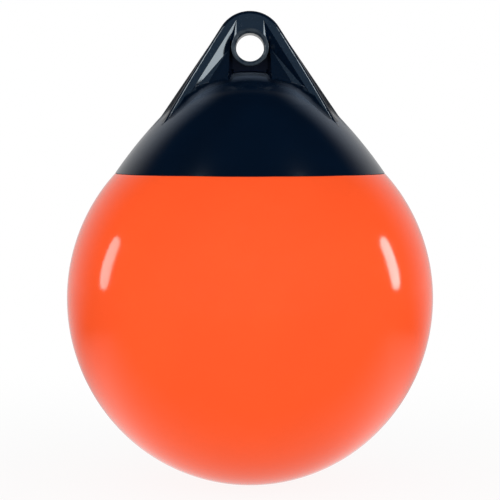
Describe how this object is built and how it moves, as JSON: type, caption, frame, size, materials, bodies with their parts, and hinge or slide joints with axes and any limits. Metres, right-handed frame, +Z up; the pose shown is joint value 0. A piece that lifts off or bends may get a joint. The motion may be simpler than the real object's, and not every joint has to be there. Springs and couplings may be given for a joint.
{
  "type": "inflatable ball buoy",
  "caption": "Teardrop inflatable vinyl ball buoy: a hollow orange ball under a navy moulded cap with an arched rope eye on top and a screw-plugged air valve at the rear.",
  "frame": {"origin": "centre of the rope eye", "axes": "+Y along the rope eye, away from the viewer; +Z up, from the ball to the eye; +X to the viewer's right"},
  "size_m": [0.38, 0.3798, 0.4906],
  "materials": {
    "orange_vinyl": "gloss",
    "navy_vinyl": "gloss",
    "valve_plastic": "satin",
    "plug_plastic": "satin",
    "seal_rubber": "matte"
  },
  "bodies": {
    "buoy": {"float_body": "orange_vinyl", "rope_hold": "navy_vinyl", "valve_body": "valve_plastic"},
    "plug": {"valve_plug": "plug_plastic", "valve_seal": "seal_rubber"}
  },
  "joints": [
    {"name": "plug_lift", "type": "slide", "parent": "buoy", "child": "plug", "axis": [0, 0.7637, 0.6456], "range_m": [0, 0.03]}
  ]
}
